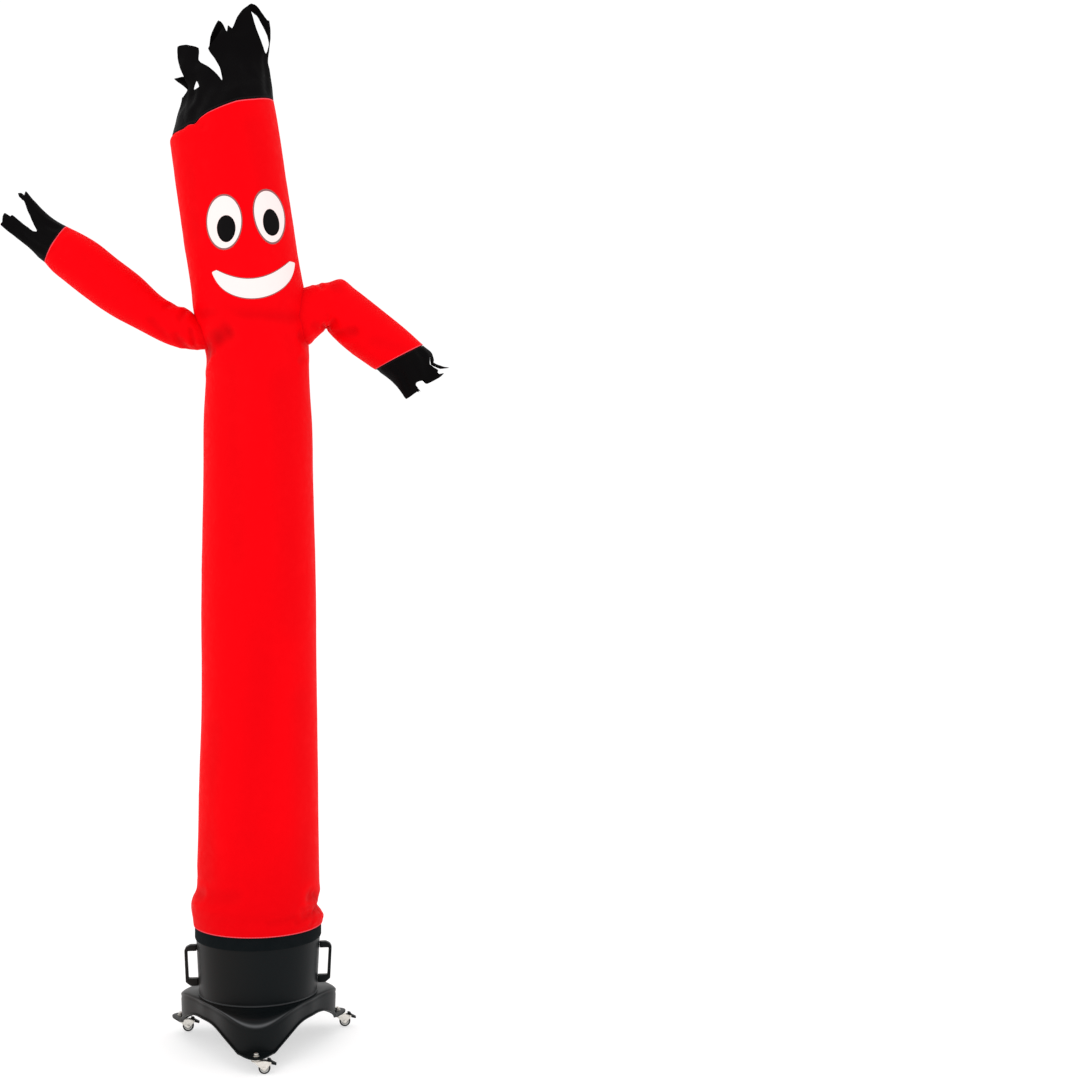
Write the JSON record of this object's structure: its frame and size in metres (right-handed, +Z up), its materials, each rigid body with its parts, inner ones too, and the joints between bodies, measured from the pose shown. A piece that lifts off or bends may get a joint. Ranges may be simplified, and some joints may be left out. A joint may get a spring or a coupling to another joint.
{
  "type": "inflatable air dancer on a castered blower",
  "caption": "Air-blown nylon tube figure with a smiling face, waving arms and cut black cuffs, gripped round the outlet of a moulded blower on braked swivel casters.",
  "frame": {"origin": "floor level under the middle of the bounding box", "axes": "+Z up, the face looks along -Y, +X at the viewer's right"},
  "size_m": [1.2648, 0.4593, 2.937],
  "materials": {
    "red_nylon": "woven nylon with a slight sheen",
    "black_nylon": "woven nylon, cut edges",
    "white_nylon": "woven nylon patch",
    "black_plastic": "satin moulded plastic",
    "black_band": "hook-and-loop tape",
    "brushed_metal": "brushed",
    "bright_wire": "bright plated wire",
    "nickel": "satin nickel plate",
    "rubber": "matte",
    "pale_rim": "gloss"
  },
  "bodies": {
    "body": {"body_tube": "red_nylon", "arm_left": "red_nylon", "arm_right": "red_nylon", "crown": "black_nylon", "hand_left": "black_nylon", "hand_right": "black_nylon", "pupil_left": "black_nylon", "pupil_right": "black_nylon", "eye_left": "white_nylon", "eye_right": "white_nylon", "mouth": "white_nylon", "band": "black_band", "collar_rim": "black_plastic", "drum": "black_plastic", "base": "black_plastic", "handle_left": "black_plastic", "handle_right": "black_plastic", "flange_ring": "brushed_metal", "guard": "bright_wire", "guard_disc": "brushed_metal", "bolt_front": "nickel", "washer_front": "nickel", "cap_front": "nickel", "bolt_right": "nickel", "washer_right": "nickel", "cap_right": "nickel", "bolt_left": "nickel", "washer_left": "nickel", "cap_left": "nickel"},
    "caster_front": {"fork_front": "nickel", "axle_front": "nickel", "pin_front": "nickel"},
    "wheel_front": {"tyre_front": "rubber", "rim_front": "pale_rim"},
    "brake_front": {"pedal_front": "black_plastic"},
    "caster_right": {"fork_right": "nickel", "axle_right": "nickel", "pin_right": "nickel"},
    "wheel_right": {"tyre_right": "rubber", "rim_right": "pale_rim"},
    "brake_right": {"pedal_right": "black_plastic"},
    "caster_left": {"fork_left": "nickel", "axle_left": "nickel", "pin_left": "nickel"},
    "wheel_left": {"tyre_left": "rubber", "rim_left": "pale_rim"},
    "brake_left": {"pedal_left": "black_plastic"}
  },
  "joints": [
    {"name": "swivel_front", "type": "hinge", "parent": "body", "child": "caster_front", "pos_m": [0.0884, -0.212, 0.0349], "axis": [0, 0, 1], "continuous": true},
    {"name": "roll_front", "type": "hinge", "parent": "caster_front", "child": "wheel_front", "pos_m": [0.1104, -0.212, 0.016], "axis": [0, 1, 0], "continuous": true},
    {"name": "pedal_front", "type": "hinge", "parent": "caster_front", "child": "brake_front", "pos_m": [0.1254, -0.212, 0.03], "axis": [0, -1, 0], "range_deg": [0, 18]},
    {"name": "swivel_right", "type": "hinge", "parent": "body", "child": "caster_right", "pos_m": [0.31357, 0.178, 0.0349], "axis": [0, 0, 1], "continuous": true},
    {"name": "roll_right", "type": "hinge", "parent": "caster_right", "child": "wheel_right", "pos_m": [0.33557, 0.178, 0.016], "axis": [0, 1, 0], "continuous": true},
    {"name": "pedal_right", "type": "hinge", "parent": "caster_right", "child": "brake_right", "pos_m": [0.35057, 0.178, 0.03], "axis": [0, -1, 0], "range_deg": [0, 18]},
    {"name": "swivel_left", "type": "hinge", "parent": "body", "child": "caster_left", "pos_m": [-0.13677, 0.178, 0.0349], "axis": [0, 0, 1], "continuous": true},
    {"name": "roll_left", "type": "hinge", "parent": "caster_left", "child": "wheel_left", "pos_m": [-0.11477, 0.178, 0.016], "axis": [0, 1, 0], "continuous": true},
    {"name": "pedal_left", "type": "hinge", "parent": "caster_left", "child": "brake_left", "pos_m": [-0.09977, 0.178, 0.03], "axis": [0, -1, 0], "range_deg": [0, 18]}
  ]
}
